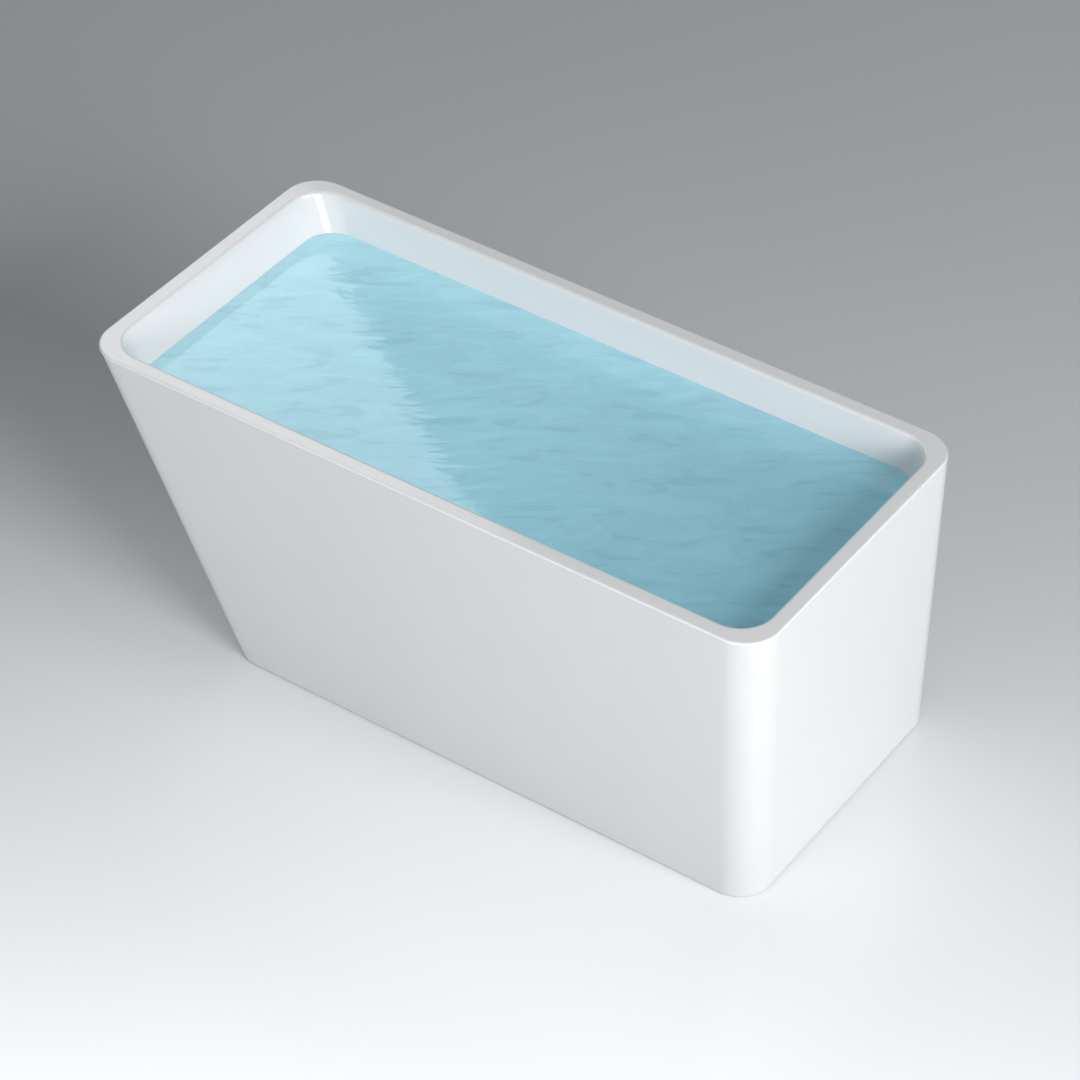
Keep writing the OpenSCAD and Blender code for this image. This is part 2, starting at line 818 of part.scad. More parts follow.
// Cylinder along the sloping pipe, from one distance above the bend to another
module slope_cylinder(d0, d1, r) {
    elbow_plane() rotate([0, 0, -drain_draft]) translate([elbow_r, d0, 0]) rotate([-90, 0, 0])
        cylinder(h = d1 - d0, r = r, $fn = 48);
}

// Cylinder along the level stretch, from one distance past the bend to another
module level_cylinder(d0, d1, r) {
    elbow_plane() translate([-d0, -elbow_r, 0]) rotate([0, -90, 0])
        cylinder(h = d1 - d0, r = r, $fn = 48);
}

// Bend from the sloping pipe to the level
module elbow_bend(r) {
    elbow_plane() rotate([0, 0, -90]) rotate_extrude(angle = 90 - drain_draft, $fn = 72)
        translate([elbow_r, 0]) circle(r, $fn = 48);
}

// Straight pipe down the back of the drain-end wall
module overflow_pipe() {
    len = pipe_run - pipe_start;
    color(pipe_white) difference() {
        slope_cylinder(0, len, pipe_r);
        slope_cylinder(-past, len + past, pipe_r - pipe_wall);
    }
}

// Moulded elbow with a socket for the pipe, and its tail in the waste body
module overflow_elbow() {
    collar = pipe_r + 2.5;
    lap = 3;
    socket_len = 16;
    tail_len = elbow_x - drain_x - chamber_r - nut_lap;
    color(pipe_white) difference() {
        union() {
            elbow_bend(pipe_r + 0.5);
            slope_cylinder(-lap, socket_len, collar);
            level_cylinder(-lap, 2 * lap, collar);
            level_cylinder(0, tail_len, pipe_r);
        }
        elbow_bend(pipe_r - pipe_wall - 0.5);
        slope_cylinder(0, socket_len + past, pipe_r);
        slope_cylinder(-past, past, pipe_r - pipe_wall);
        level_cylinder(-past, tail_len + past, pipe_r - pipe_wall);
    }
}

// Ribbed nut over a socket's end and the pipe, opening at 0 and standing along Z
module pipe_nut() {
    len = 16;
    difference() {
        union() {
            cylinder(h = len, r = pipe_nut_r - 1, $fn = 48);
            for (a = [0:30:330])
                rotate([0, 0, a]) translate([pipe_nut_r - rib_r, 0, 0])
                    cylinder(h = len, r = rib_r, $fn = 24);
        }
        translate([0, 0, -past]) cylinder(h = nut_lap + past, r = socket_r, $fn = 48);
        cylinder(h = len + past, r = pipe_r, $fn = 48);
    }
}
module overflow_top_nut() {
    color(pipe_white) on_drain_wall() translate([pipe_offset, 0, nut_lap - socket_end])
        mirror([0, 0, 1]) pipe_nut();
}
module overflow_bottom_nut() {
    color(pipe_white) translate([side_socket_end - nut_lap, 0, side_z]) rotate([0, 90, 0]) pipe_nut();
}

basin_shell();
basin_glass_layer();
skirt_shell();
skirt_glass_layer();
rim_adhesive();
base_board();
rail_front();
rail_back();
cross_tube_head();
cross_tube_middle();
cross_tube_drain();
rail_end_caps();
board_screws();
foot_weld_nuts();
foot_lock_nuts();
foot_pad_head_front();
foot_pad_head_back();
foot_pad_centre();
foot_pad_drain_front();
foot_pad_drain_back();
foot_stud_head_front();
foot_stud_head_back();
foot_stud_centre();
foot_stud_drain_front();
foot_stud_drain_back();
bracket_head_front();
bracket_head_back();
bracket_drain_front();
bracket_drain_back();
block_head_front();
block_head_back();
block_drain_front();
block_drain_back();
bracket_bolts();
block_screws();
waste_flange();
waste_top_seal();
waste_bottom_seal();
waste_back_nut();
waste_body();
tail_seal();
tail_nut();
tailpiece();
stopper_cap();
stopper_seal();
stopper_stem();
stopper_stem_nut();
stopper_spring();
overflow_cover();
overflow_ring_nut();
overflow_seal();
overflow_body();
overflow_pipe();
overflow_elbow();
overflow_top_nut();
overflow_bottom_nut();
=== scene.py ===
"""Freestanding double-skinned bathtub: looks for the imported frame.

The acrylic basin and skirt, the threaded studs and the stopper's spring are rebuilt as fine meshes;
every other piece is the CAD node with a finished material. Lengths are in metres.
"""
import json
import math

import bmesh
import bpy
from mathutils import Matrix, Quaternion, Vector


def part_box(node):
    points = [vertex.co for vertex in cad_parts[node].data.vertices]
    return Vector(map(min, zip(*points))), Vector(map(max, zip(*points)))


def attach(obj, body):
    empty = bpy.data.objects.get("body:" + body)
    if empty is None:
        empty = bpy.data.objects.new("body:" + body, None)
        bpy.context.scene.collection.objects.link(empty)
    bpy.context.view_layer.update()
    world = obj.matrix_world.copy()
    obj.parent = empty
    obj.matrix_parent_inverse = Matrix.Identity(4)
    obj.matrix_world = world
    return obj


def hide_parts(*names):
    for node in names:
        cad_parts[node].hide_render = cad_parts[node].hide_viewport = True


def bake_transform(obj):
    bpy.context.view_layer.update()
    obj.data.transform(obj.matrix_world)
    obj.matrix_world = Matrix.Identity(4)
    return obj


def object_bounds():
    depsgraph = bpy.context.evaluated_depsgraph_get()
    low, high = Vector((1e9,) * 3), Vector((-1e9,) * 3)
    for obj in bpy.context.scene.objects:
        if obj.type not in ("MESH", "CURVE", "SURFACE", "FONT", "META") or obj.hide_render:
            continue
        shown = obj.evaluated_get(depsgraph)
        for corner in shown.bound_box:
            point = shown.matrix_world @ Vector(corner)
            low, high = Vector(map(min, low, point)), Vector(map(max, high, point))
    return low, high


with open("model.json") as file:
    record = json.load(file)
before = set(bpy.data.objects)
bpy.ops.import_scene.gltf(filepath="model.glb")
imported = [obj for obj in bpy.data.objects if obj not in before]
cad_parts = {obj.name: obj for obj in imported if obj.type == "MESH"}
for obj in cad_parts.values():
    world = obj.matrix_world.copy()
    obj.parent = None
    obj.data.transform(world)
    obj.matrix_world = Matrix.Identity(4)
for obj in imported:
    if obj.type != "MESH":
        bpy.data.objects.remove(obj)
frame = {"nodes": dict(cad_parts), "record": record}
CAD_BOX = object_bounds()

MM = 0.001
BODY = "tub"
NODES = frame["nodes"]

# ---- Driving dimensions, as in the CAD design ----
LENGTH = CAD_BOX[1].x - CAD_BOX[0].x
WIDTH = CAD_BOX[1].y - CAD_BOX[0].y
HEIGHT = CAD_BOX[1].z
FLOOR_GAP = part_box("skirt_shell")[0].z
SHEET = 4 * MM
HEAD_LEAN = math.radians(24.6)
SIDE_LEAN = math.radians(2.1)
CORNER_R = 72 * MM
BASE_CORNER_R = 66 * MM
RIM_W = 33 * MM
BASIN_CORNER_R = 67 * MM
BASIN_FLOOR = 180 * MM
COVE_R = 60 * MM
FLOOR_FALL = 8 * MM
SIDE_DRAFT = math.radians(7)
DRAIN_DRAFT = math.radians(8)
RIM_UNDER = HEIGHT - SHEET
WATER_DEPTH_BELOW_RIM = 78 * MM

FLANGE_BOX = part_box("waste_flange")
DRAIN = (FLANGE_BOX[0] + FLANGE_BOX[1]) / 2


# ---- Shape of the basin and the skirt ----

CORNER_STEPS = 20
SIDE_STOPS = (0.015, 0.25, 0.5, 0.75, 0.985)


def plan_stations():
    """Places round a rounded rectangle: (corner a, corner b, share of the way, direction).

    Corners count 0 to 3 anticlockwise from +X +Y. A place on a side lies between two corners.
    """
    stations = []
    for corner in range(4):
        start = corner * math.pi / 2
        for step in range(CORNER_STEPS + 1):
            stations.append((corner, corner, 0.0, start + step / CORNER_STEPS * math.pi / 2))
        for share in SIDE_STOPS:
            stations.append((corner, (corner + 1) % 4, share, start + math.pi / 2))
    return stations


STATIONS = plan_stations()


def rounded_rectangle(x0, x1, y, r, z):
    """The ring of points round a rounded rectangle at height z."""
    centres = [(x1 - r, y - r), (x0 + r, y - r), (x0 + r, r - y), (x1 - r, r - y)]
    ring = []
    for a, b, share, angle in STATIONS:
        cx = centres[a][0] + share * (centres[b][0] - centres[a][0])
        cy = centres[a][1] + share * (centres[b][1] - centres[a][1])
        ring.append(Vector((cx + r * math.cos(angle), cy + r * math.sin(angle), z)))
    return ring


def skirt_ring(z, inset, level=None):
    """The skirt's outline at height z, set in from its outer face.

    With level the ring keeps the outline of that height and is only placed at z.
    """
    at = z if level is None else level
    drop = HEIGHT - at
    r = BASE_CORNER_R + (CORNER_R - BASE_CORNER_R) * (at - FLOOR_GAP) / (HEIGHT - FLOOR_GAP)
    return rounded_rectangle(
        -LENGTH / 2 + drop * math.tan(HEAD_LEAN) + inset / math.cos(HEAD_LEAN),
        LENGTH / 2 - inset,
        WIDTH / 2 - drop * math.tan(SIDE_LEAN) - inset / math.cos(SIDE_LEAN),
        r - inset,
        z,
    )


def end_wall_x(rim_x, z, lean, sign):
    """X at height z of an end wall that leans in from rim_x; sign is the end's side of X."""
    return rim_x - sign * (HEIGHT - z) * math.tan(lean)


COVE_DRAIN_Z = BASIN_FLOOR + COVE_R
COVE_HEAD_Z = COVE_DRAIN_Z + FLOOR_FALL
RIM_INNER_X = LENGTH / 2 - RIM_W
RIM_INNER_Y = WIDTH / 2 - RIM_W
HEAD_WALL_X = end_wall_x(-RIM_INNER_X, COVE_HEAD_Z, HEAD_LEAN, -1)
DRAIN_WALL_X = end_wall_x(RIM_INNER_X, COVE_DRAIN_Z, DRAIN_DRAFT, 1)
SIDE_WALL_Y = RIM_INNER_Y - (HEIGHT - COVE_DRAIN_Z) * math.tan(SIDE_DRAFT)
COVE_HEAD_X = HEAD_WALL_X + COVE_R / math.cos(HEAD_LEAN)
COVE_DRAIN_X = DRAIN_WALL_X - COVE_R / math.cos(DRAIN_DRAFT)
COVE_Y = SIDE_WALL_Y - COVE_R / math.cos(SIDE_DRAFT)
COVE_CENTRES = [
    Vector((COVE_DRAIN_X, COVE_Y, COVE_DRAIN_Z)),
    Vector((COVE_HEAD_X, COVE_Y, COVE_HEAD_Z)),
    Vector((COVE_HEAD_X, -COVE_Y, COVE_HEAD_Z)),
    Vector((COVE_DRAIN_X, -COVE_Y, COVE_DRAIN_Z)),
]
RIM_CENTRES = [
    Vector((sx * (RIM_INNER_X - BASIN_CORNER_R), sy * (RIM_INNER_Y - BASIN_CORNER_R), 0))
    for sx, sy in ((1, 1), (-1, 1), (-1, -1), (1, -1))
]


class BasinWall:
    """One upright slice of the basin: where its wall leaves the rim and meets the cove."""

    def __init__(self, station, grow=0.0, top=None):
        a, b, share, angle = station
        top = HEIGHT if top is None else top
        self.out = Vector((math.cos(angle), math.sin(angle), 0))
        self.cove = COVE_CENTRES[a].lerp(COVE_CENTRES[b], share)
        self.cove_r = COVE_R + grow
        rim_centre = RIM_CENTRES[a].lerp(RIM_CENTRES[b], share)
        edge = rim_centre + self.out * BASIN_CORNER_R + Vector((0, 0, HEIGHT))
        lean = self.lean_from(edge, COVE_R)
        shift = grow / math.cos(lean) - (HEIGHT - top) * math.tan(lean)
        self.edge = edge + self.out * shift + Vector((0, 0, top - HEIGHT))
        self.lean = self.lean_from(self.edge, self.cove_r)

    def lean_from(self, edge, r):
        """Lean of the line from edge that touches the cove's circle."""
        across = (edge - self.cove).dot(self.out)
        up = edge.z - self.cove.z
        return math.acos(r / math.hypot(across, up)) - math.atan2(up, across)

    def cove_point(self, share):
        """Point on the cove: 0 where the wall meets it, 1 on the floor."""
        tilt = self.lean + share * (math.pi / 2 - self.lean)
        return self.cove + self.cove_r * (self.out * math.cos(tilt) - Vector((0, 0, math.sin(tilt))))

    def wall_point(self, share):
        """Point on the wall: 0 at the rim, 1 at the cove."""
        return self.edge.lerp(self.cove_point(0), share)

    def at_height(self, z):
        """Point on the wall at height z."""
        low = self.cove_point(0)
        return low.lerp(self.edge, (z - low.z) / (self.edge.z - low.z))

    def rim_round(self, r, share):
        """Point on the rounding of the rim's inner edge: 0 on the flat rim, 1 on the wall."""
        turn = math.pi / 2 - self.lean
        start = self.edge + self.out * (r * math.tan(turn / 2))
        centre = start - Vector((0, 0, r))
        angle = share * turn
        return centre + r * (Vector((0, 0, math.cos(angle))) - self.out * math.sin(angle))


def floor_z(x):
    """Height of the basin's floor at x."""
    return BASIN_FLOOR + FLOOR_FALL * (COVE_DRAIN_X - x) / (COVE_DRAIN_X - COVE_HEAD_X)


def drain_ring(points, r, z):
    """Ring about the drain's axis whose points face those of another ring.

    The height z is a number, or a function of x.
    """
    ring = []
    for p in points:
        way = Vector((p.x - DRAIN.x, p.y - DRAIN.y, 0)).normalized()
        place = Vector((DRAIN.x, DRAIN.y, 0)) + way * r
        place.z = z(place.x) if callable(z) else z
        ring.append(place)
    return ring


def circle(sides):
    """Equal angles round a full turn."""
    return [2 * math.pi * k / sides for k in range(sides)]


def point_round(centre, r, angle, z):
    """The point at radius r from the upright axis through centre, at height z."""
    return Vector((centre.x + r * math.cos(angle), centre.y + r * math.sin(angle), z))


def shade(mesh, smooth_angle):
    """Smooth shading, with edges kept sharp above an angle in degrees."""
    mesh.shade_smooth()
    mesh.set_sharp_from_angle(angle=math.radians(smooth_angle))


def mesh_object(name, verts, faces, smooth_angle=30.0, weld=1e-6):
    """A mesh object with merged points, outward normals and smooth shading under an angle."""
    mesh = bpy.data.meshes.new(name)
    mesh.from_pydata([tuple(v) for v in verts], [], faces)
    bm = bmesh.new()
    bm.from_mesh(mesh)
    bmesh.ops.remove_doubles(bm, verts=bm.verts, dist=weld)
    bmesh.ops.dissolve_degenerate(bm, dist=weld, edges=bm.edges)
    bmesh.ops.recalc_face_normals(bm, faces=bm.faces)
    bm.to_mesh(mesh)
    bm.free()
    shade(mesh, smooth_angle)
    obj = bpy.data.objects.new(name, mesh)
    bpy.context.scene.collection.objects.link(obj)
    return obj


def loft(name, rings, capped=False, **options):
    """Joins rings of equal length. Capped closes both ends, else the last ring meets the first."""
    count = len(rings[0])
    faces = []
    for i in range(len(rings) - 1 if capped else len(rings)):
        low, high = i * count, (i + 1) % len(rings) * count
        for k in range(count):
            n = (k + 1) % count
            faces.append((low + k, low + n, high + n, high + k))
    if capped:
        last = (len(rings) - 1) * count
        faces += [tuple(reversed(range(count))), tuple(range(last, last + count))]
    verts = [p for ring in rings for p in ring]
    return mesh_object(name, verts, faces, **options)


def arc_shares(steps):
    """Shares from 0 to 1 in equal steps, ends included."""
    return [i / steps for i in range(steps + 1)]


def round_off(r, steps):
    """Places round an edge of radius r: (distance from its flat face, distance from its side)."""
    angles = [share * math.pi / 2 for share in arc_shares(steps)]
    return [(r * (1 - math.sin(a)), r * (1 - math.cos(a))) for a in angles]


# ---- Skirt and basin ----

# Rounding on each side of the seam between the rim and the skirt
SEAM_R = 0.35 * MM
# The dish round the drain: (radius, share of the drop from the floor to the drain's seat)
DISH = (
    (0.078, 0),
    (0.060, 0),
    (0.055, 0.1),
    (0.051, 0.35),
    (0.047, 0.7),
    (0.044, 0.93),
    (0.0415, 1),
)


def build_skirt():
    """Acrylic skirt: leaning walls, top flange with the glue recess, turned-in base flange."""
    edge_r = 2 * MM
    glue = 1 * MM
    top_in = 22 * MM
    base_in = 25 * MM
    base_top = FLOOR_GAP + 4 * MM
    flange_top = RIM_UNDER - glue
    flange_under = flange_top - SHEET
    rings = [skirt_ring(FLOOR_GAP + up, inset) for up, inset in reversed(round_off(edge_r, 5))]
    for share in (0.01, 0.25, 0.5, 0.75, 0.99):
        rings.append(skirt_ring(FLOOR_GAP + share * (RIM_UNDER - FLOOR_GAP), 0))
    rings.append(skirt_ring(RIM_UNDER - SEAM_R, 0))
    rings.append(skirt_ring(RIM_UNDER, SEAM_R))
    rings.append(skirt_ring(RIM_UNDER, SHEET))
    rings.append(skirt_ring(flange_top, SHEET))
    rings.append(skirt_ring(flange_top, top_in, level=HEIGHT))
    rings.append(skirt_ring(flange_under, top_in, level=HEIGHT))
    rings.append(skirt_ring(flange_under, SHEET))
    rings.append(skirt_ring(base_top, SHEET))
    rings.append(skirt_ring(base_top, base_in, level=FLOOR_GAP))
    rings.append(skirt_ring(FLOOR_GAP, base_in, level=FLOOR_GAP))
    skirt = loft("acrylic_skirt", rings)
    finish_piece(skirt, "acrylic", acrylic(), "skirt_shell")
    return skirt


def rim_rings(front):
    """The rim: up from the seam, over the outer edge and round the inner edge."""
    inner_round, outer_round = 7 * MM, 3.6 * MM
    beside_outer, beside_inner = 2 * MM, 1.5 * MM
    rings = [skirt_ring(RIM_UNDER + SEAM_R, 0, level=HEIGHT)]
    for down, inset in round_off(outer_round, 6):
        rings.append(skirt_ring(HEIGHT - down, inset, level=HEIGHT))
    rings.append(skirt_ring(HEIGHT, outer_round + beside_outer, level=HEIGHT))
    rings.append([w.rim_round(inner_round, 0) + w.out * beside_inner for w in front])
    for share in arc_shares(8):
        rings.append([w.rim_round(inner_round, share) for w in front])
    return rings


def drain_rings(floor_ring, back_floor):
    """The drain: dish, seat, hole and the boss below, out to the floor's underside."""
    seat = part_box("waste_top_seal")[0].z
    boss_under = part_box("waste_bottom_seal")[1].z
    hole_r, chamfer, boss_r = 25 * MM, 0.5 * MM, 46 * MM
    rings = []
    for r, share in DISH:
        ring = drain_ring(floor_ring, r, floor_z)
        for p in ring:
            p.z += share * (seat - p.z)
        rings.append(ring)
    rings.append(drain_ring(floor_ring, hole_r + chamfer, seat))
    rings.append(drain_ring(floor_ring, hole_r, seat - chamfer))
    rings.append(drain_ring(floor_ring, hole_r, boss_under))
    rings.append(drain_ring(floor_ring, boss_r, boss_under))
    rings.append(drain_ring(back_floor, boss_r, lambda x: floor_z(x) - SHEET))
    return rings


def cut_overflow_hole(basin):
    """Cuts the overflow's hole: through its seal's middle, square to the drain-end wall."""
    lo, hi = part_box("overflow_seal")
    middle = (lo + hi) / 2
    normal = Vector((math.cos(DRAIN_DRAFT), 0, -math.sin(DRAIN_DRAFT)))
    turn = normal.to_track_quat("Z", "Y").to_matrix().to_4x4()
    place = Matrix.Translation(middle) @ turn
    r, reach, sides = 21 * MM, 30 * MM, 96
    axis = Vector((0, 0, 0))
    rings = []
    for z in (-reach, reach):
        rings.append([place @ point_round(axis, r, a, z) for a in circle(sides)])
    cutter = loft("overflow_cutter", rings, capped=True)
    cut = basin.modifiers.new("overflow hole", "BOOLEAN")
    cut.object = cutter
    cut.operation = "DIFFERENCE"
    cut.solver = "EXACT"
    bpy.context.view_layer.update()
    depsgraph = bpy.context.evaluated_depsgraph_get()
    cut_mesh = bpy.data.meshes.new_from_object(basin.evaluated_get(depsgraph))
    basin.modifiers.remove(cut)
    basin.data = cut_mesh
    shade(basin.data, 30)
    bpy.data.objects.remove(cutter)


def build_basin():
    """Acrylic basin: rim with rounded edges, drafted walls, coved floor and dished drain."""
    front = [BasinWall(s) for s in STATIONS]
    back = [BasinWall(s, SHEET, RIM_UNDER) for s in STATIONS]
    rings = rim_rings(front)
    for share in (0.04, 0.3, 0.6, 0.9, 0.985):
        rings.append([w.wall_point(share) for w in front])
    for share in arc_shares(14):
        rings.append([w.cove_point(share) for w in front])
    rings += drain_rings(rings[-1], [w.cove_point(1) for w in back])
    for share in reversed(arc_shares(10)):
        rings.append([w.cove_point(share) for w in back])
    rings.append([w.edge for w in back])
    rings.append(skirt_ring(RIM_UNDER, SEAM_R, level=HEIGHT))
    basin = loft("acrylic_basin", rings)
    cut_overflow_hole(basin)
    finish_piece(basin, "acrylic", acrylic(), "basin_shell")
    return basin


# ---- Spring of the stopper ----


def tube_round_drain(name, path, r, sides=12):
    """A round wire of radius r along a path that circles the drain's axis, with closed ends."""
    rings = []
    for i, p in enumerate(path):
        along = (path[min(i + 1, len(path) - 1)] - path[max(i - 1, 0)]).normalized()
        out = Vector((p.x - DRAIN.x, p.y - DRAIN.y, 0)).normalized()
        side = along.cross(out).normalized()
        out = side.cross(along)
        rings.append([p + r * (out * math.cos(a) + side * math.sin(a)) for a in circle(sides)])
    return loft(name, rings, capped=True, smooth_angle=50)


def build_spring():
    """Coil spring round the stopper's stem, held between the flange's guide and the cap."""
    lo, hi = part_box("stopper_spring")
    wire_r, play = 0.7 * MM, 0.1 * MM
    coil_r = (hi.x - lo.x) / 2 - wire_r - play
    turns, steps_a_turn = 4, 32
    steps = steps_a_turn * turns
    low, high = lo.z + wire_r, hi.z - wire_r
    path = []
    for i in range(steps + 1):
        angle = 2 * math.pi * turns * i / steps
        z = low + (high - low) * i / steps
        path.append(point_round(DRAIN, coil_r, angle, z))
    spring = tube_round_drain("spring_coil", path, wire_r)
    spring.data.materials.append(zinc_steel())
    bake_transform(spring)
    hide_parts("stopper_spring")


# ---- Studs of the levelling feet ----

STUD_R = 6 * MM
STUD_PITCH = 1.75 * MM
WRENCH_LOW = 18 * MM
WRENCH_HIGH = 26 * MM


def hexagon_radius(angle):
    """Radius of the wrench hexagon, its corners turned down a little."""
    corner_r, turned_off = 9 * MM, 0.25 * MM
    sixth = math.pi / 3
    flat = corner_r * math.cos(sixth / 2)
    return min(flat / math.cos(angle % sixth - sixth / 2), corner_r - turned_off)


def thread_radius(z, angle):
    """Radius of a right-hand thread, with flats on its crest and in its root."""
    depth, slope, crest = 0.95 * MM, 1.25, 0.125
    phase = (z / STUD_PITCH - angle / (2 * math.pi)) % 1.0
    flank = abs(2 * phase - 1)
    return STUD_R - depth * min(1.0, max(0.0, slope * flank - crest))


def stud_radius(z, angle, top):
    """Radius of a stud: plain swivel, wrench hexagon, then the thread up to a chamfered top."""
    swivel_r, top_chamfer = 5 * MM, 1.2 * MM
    if z < WRENCH_LOW:
        return swivel_r
    if z <= WRENCH_HIGH:
        return hexagon_radius(angle)
    return min(thread_radius(z, angle), STUD_R - top_chamfer + (top - z))


def build_stud(place):
    """Threaded stud of one levelling foot."""
    node = "foot_stud_" + place
    lo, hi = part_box(node)
    middle = (lo + hi) / 2
    chamfer, edge, sides, steps_a_pitch = 0.5 * MM, 0.01 * MM, 36, 6
    heights = [lo.z, lo.z + chamfer]
    heights += [WRENCH_LOW - edge, WRENCH_LOW, WRENCH_HIGH, WRENCH_HIGH + edge]
    step = STUD_PITCH / steps_a_pitch
    count = int((hi.z - WRENCH_HIGH) / step)
    heights += [WRENCH_HIGH + step * (i + 1) for i in range(count - 1)]
    heights.append(hi.z)
    rings = []
    for z in heights:
        inset = chamfer if z == lo.z else 0.0
        ring = [point_round(middle, stud_radius(z, a, hi.z) - inset, a, z) for a in circle(sides)]
        rings.append(ring)
    stud = loft("threaded_stud_" + place, rings, capped=True, smooth_angle=25)
    finish_piece(stud, "zinc_steel", zinc_steel(), node, body="stud_" + place)


def build_studs():
    """The five studs of the levelling feet."""
    for node in NODES:
        if node.startswith("foot_stud_"):
            build_stud(node[len("foot_stud_"):])


# ---- Materials ----


class Nodes:
    """Short way to write a material's node tree round one principled shader."""

    def __init__(self, name):
        self.material = bpy.data.materials.new(name)
        self.material.use_nodes = True
        self.tree = self.material.node_tree
        self.tree.nodes.clear()
        self.output = self.add("ShaderNodeOutputMaterial")
        self.shader = self.add("ShaderNodeBsdfPrincipled")
        self.link(self.shader, "BSDF", self.output, "Surface")
        self.coords = self.add("ShaderNodeTexCoord")

    def add(self, kind, settings=None, **inputs):
        """Adds a node with its settings and its input values; From_Min means input From Min."""
        node = self.tree.nodes.new(kind)
        for key, value in (settings or {}).items():
            setattr(node, key, value)
        for key, value in inputs.items():
            node.inputs[key.replace("_", " ")].default_value = value
        return node

    def link(self, a, out, b, into):
        """Links an output of one node to an input of another, each by name or number."""
        self.tree.links.new(a.outputs[out], b.inputs[into])

    def set(self, **values):
        """Sets uniform values on the shader."""
        for key, value in values.items():
            self.shader.inputs[key.replace("_", " ")].default_value = value

    def mapped(self, scale=(1, 1, 1), turn=(0, 0, 0)):
        """Object coordinates, scaled and turned."""
        node = self.add("ShaderNodeMapping", Scale=scale, Rotation=turn)
        self.link(self.coords, "Object", node, "Vector")
        return node

    def noise(self, scale, detail=4.0, rough=0.5, stretch=(1, 1, 1), turn=(0, 0, 0)):
        """Noise on the object's coordinates."""
        node = self.add("ShaderNodeTexNoise", Scale=scale, Detail=detail, Roughness=rough)
        self.link(self.mapped(stretch, turn), "Vector", node, "Vector")
        return node

    def mixed(self, share, a, a_out, b, b_out):
        """Mixes two values: a at share 0, b at share 1."""
        node = self.add("ShaderNodeMix", {"data_type": "FLOAT"}, Factor=share)
        self.link(a, a_out, node, "A")
        self.link(b, b_out, node, "B")
        return node

    def ramp(self, source, out, *stops):
        """Turns a value into a colour; each stop is (value, colour)."""
        node = self.add("ShaderNodeValToRGB")
        ramp = node.color_ramp
        while len(ramp.elements) < len(stops):
            ramp.elements.new(0.5)
        for element, (place, colour) in zip(ramp.elements, stops):
            element.position = place
            element.color = (*colour, 1)
        self.link(source, out, node, "Fac")
        return node

    def paint(self, source, out, *stops):
        """Colours the shader by a ramp over a value."""
        self.link(self.ramp(source, out, *stops), "Color", self.shader, "Base Color")

    def spread(self, source, out, low, high, into, from_low=0.0, from_high=1.0):
        """Links a value, mapped from one range to another, into a shader socket."""
        ranges = {"From_Min": from_low, "From_Max": from_high, "To_Min": low, "To_Max": high}
        node = self.add("ShaderNodeMapRange", **ranges)
        self.link(source, out, node, "Value")
        self.link(node, "Result", self.shader, into)

    def bump(self, source, out, strength, distance, under=None):
        """Raises the surface by a value, on top of another bump if there is one."""
        node = self.add("ShaderNodeBump", Strength=strength, Distance=distance)
        self.link(source, out, node, "Height")
        if under is not None:
            self.link(under, "Normal", node, "Normal")
        self.link(node, "Normal", self.shader, "Normal")
        return node

    def clear_where(self, source, out):
        """Makes the surface fully transparent where a value is 1."""
        clear = self.add("ShaderNodeBsdfTransparent")
        mix = self.add("ShaderNodeMixShader")
        self.link(source, out, mix, "Fac")
        self.link(self.shader, "BSDF", mix, 1)
        self.link(clear, "BSDF", mix, 2)
        self.link(mix, "Shader", self.output, "Surface")


MADE = {}


def once(build):
    """Each material is built once and shared."""

    def get():
        if build.__name__ not in MADE:
            MADE[build.__name__] = build()
        return MADE[build.__name__]

    return get


@once
def acrylic():
    """Gloss white cast acrylic: faint mottling, soft waviness, fine wiping marks in the gloss."""
    n = Nodes("gloss white acrylic")
    n.set(IOR=1.49, Coat_Weight=0.25, Coat_Roughness=0.06, Specular_IOR_Level=0.5)
    tone = n.noise(2.2, detail=3)
    n.paint(tone, "Fac", (0.3, (0.885, 0.890, 0.895)), (0.7, (0.915, 0.918, 0.920)))
    marks = n.noise(9, detail=6, rough=0.6, stretch=(1, 1, 3))
    n.spread(marks, "Fac", 0.14, 0.24, "Roughness", 0.3, 0.7)
    wave = n.noise(3.5, detail=1)
    peel = n.noise(260, detail=2)
    soft = n.bump(wave, "Fac", 0.12, 1.5 * MM)
    n.bump(peel, "Fac", 0.05, 0.08 * MM, under=soft)
    return n.material


@once
def glass_fibre():
    """Raw chopped-strand laminate: resin mottling, pale strands and a rough back."""
    n = Nodes("raw glass fibre laminate")
    strands = n.noise(95, detail=5, rough=0.7, stretch=(1, 5, 1), turn=(0.3, 0.5, 0.8))
    crossed = n.noise(95, detail=5, rough=0.7, stretch=(5, 1, 2), turn=(0.9, 0.2, 0.3))
    both = n.mixed(0.5, strands, "Fac", crossed, "Fac")
    n.paint(
        both,
        "Result",
        (0.38, (0.40, 0.37, 0.24)),
        (0.52, (0.60, 0.56, 0.40)),
        (0.64, (0.78, 0.75, 0.60)),
    )
    n.spread(both, "Result", 0.35, 0.75, "Roughness", 0.35, 0.65)
    lumps = n.noise(14, detail=4)
    rough = n.bump(lumps, "Fac", 0.5, 2.5 * MM)
    n.bump(both, "Result", 0.7, 0.8 * MM, under=rough)
    return n.material


